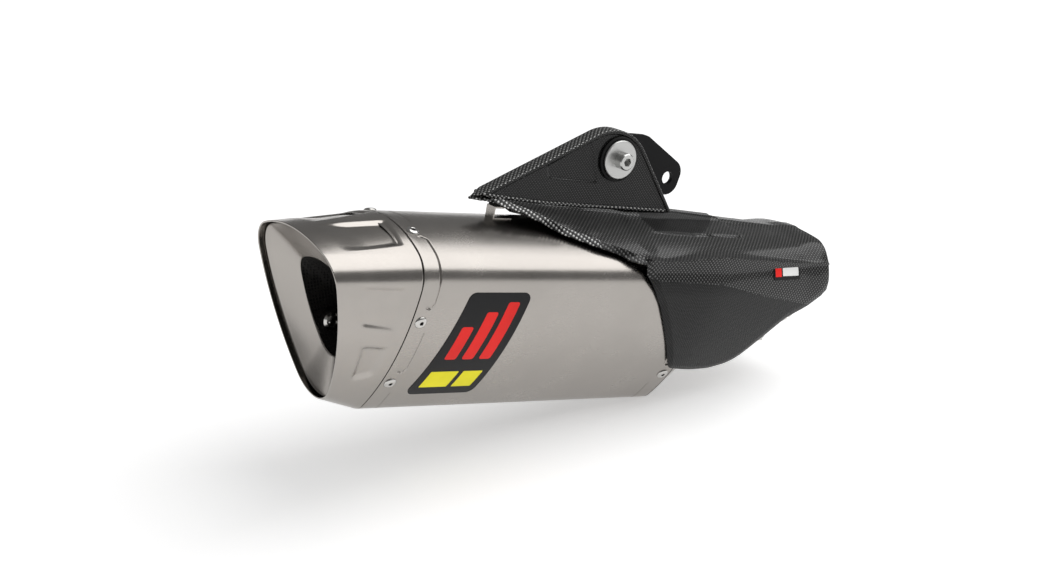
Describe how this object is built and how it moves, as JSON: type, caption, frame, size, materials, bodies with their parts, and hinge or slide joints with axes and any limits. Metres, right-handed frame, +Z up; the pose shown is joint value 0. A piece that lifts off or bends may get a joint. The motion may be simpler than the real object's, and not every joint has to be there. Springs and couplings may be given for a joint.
{
  "type": "racing motorcycle silencer",
  "caption": "Slip-on racing silencer: titanium sleeve with a tapered slash-cut outlet cap, carbon heat shield and mounting fin, hanger link and inlet clamp.",
  "frame": {"origin": "middle of the open end of the inlet tube", "axes": "+X forward on the motorcycle, +Y across it towards the wheel and along the hanger bolt, +Z up; the silencer's axis slopes down 12 degrees towards its inlet"},
  "size_m": [0.4665, 0.14, 0.2281],
  "materials": {
    "titanium": "satin brushed titanium, warm grey",
    "titanium_cap": "fine brushed titanium with a slight straw tint",
    "stainless": "bright stainless steel",
    "black_insert": "heat-blackened steel, soot matt",
    "carbon": "clear-coated twill carbon laminate",
    "aluminium": "turned aluminium, plain",
    "zinc_steel": "zinc-plated steel",
    "black_plate": "satin black powder coat",
    "rubber": "matt black rubber",
    "wool": "compressed mineral wool",
    "label": "satin heat-proof label",
    "badge": "satin heat-proof badge"
  },
  "bodies": {
    "silencer": {"sleeve": "titanium", "end_cap": "titanium_cap", "end_cap_liner": "titanium_cap", "outlet_tube": "stainless", "noise_damper": "black_insert", "damper_screw": "stainless", "damper_nut": "stainless", "outlet_bulkhead": "stainless", "inlet_bulkhead": "stainless", "perforated_core": "stainless", "wool_packing_rear": "wool", "wool_packing_front": "wool", "inlet_cap": "titanium_cap", "inlet_link": "stainless", "inlet_tube": "stainless", "outlet_rivets": "stainless", "inlet_rivets": "stainless", "heat_shield": "carbon", "mounting_fin": "carbon", "front_clip": "titanium", "clip_pad": "rubber", "shield_pads": "rubber", "hanger_tab": "titanium", "rubber_grommet": "rubber", "side_label": "label", "shield_badge": "badge"},
    "hanger": {"spacer_bush": "zinc_steel", "large_washer": "aluminium", "hanger_bolt": "zinc_steel", "hanger_plate": "black_plate", "hanger_nut": "zinc_steel"},
    "clamp": {"clamp_band": "stainless", "clamp_bolt": "zinc_steel", "clamp_nut": "zinc_steel"}
  },
  "joints": [
    {"name": "hanger_swing", "type": "hinge", "parent": "silencer", "child": "hanger", "pos_m": [-0.17524, 0, 0.13989], "axis": [0, 1, 0], "range_deg": [-12, 8]},
    {"name": "clamp_turn", "type": "hinge", "parent": "silencer", "child": "clamp", "pos_m": [-0.01369, 0, 0.00291], "axis": [0.9781, 0, -0.2079], "range_deg": [-60, 60]}
  ]
}
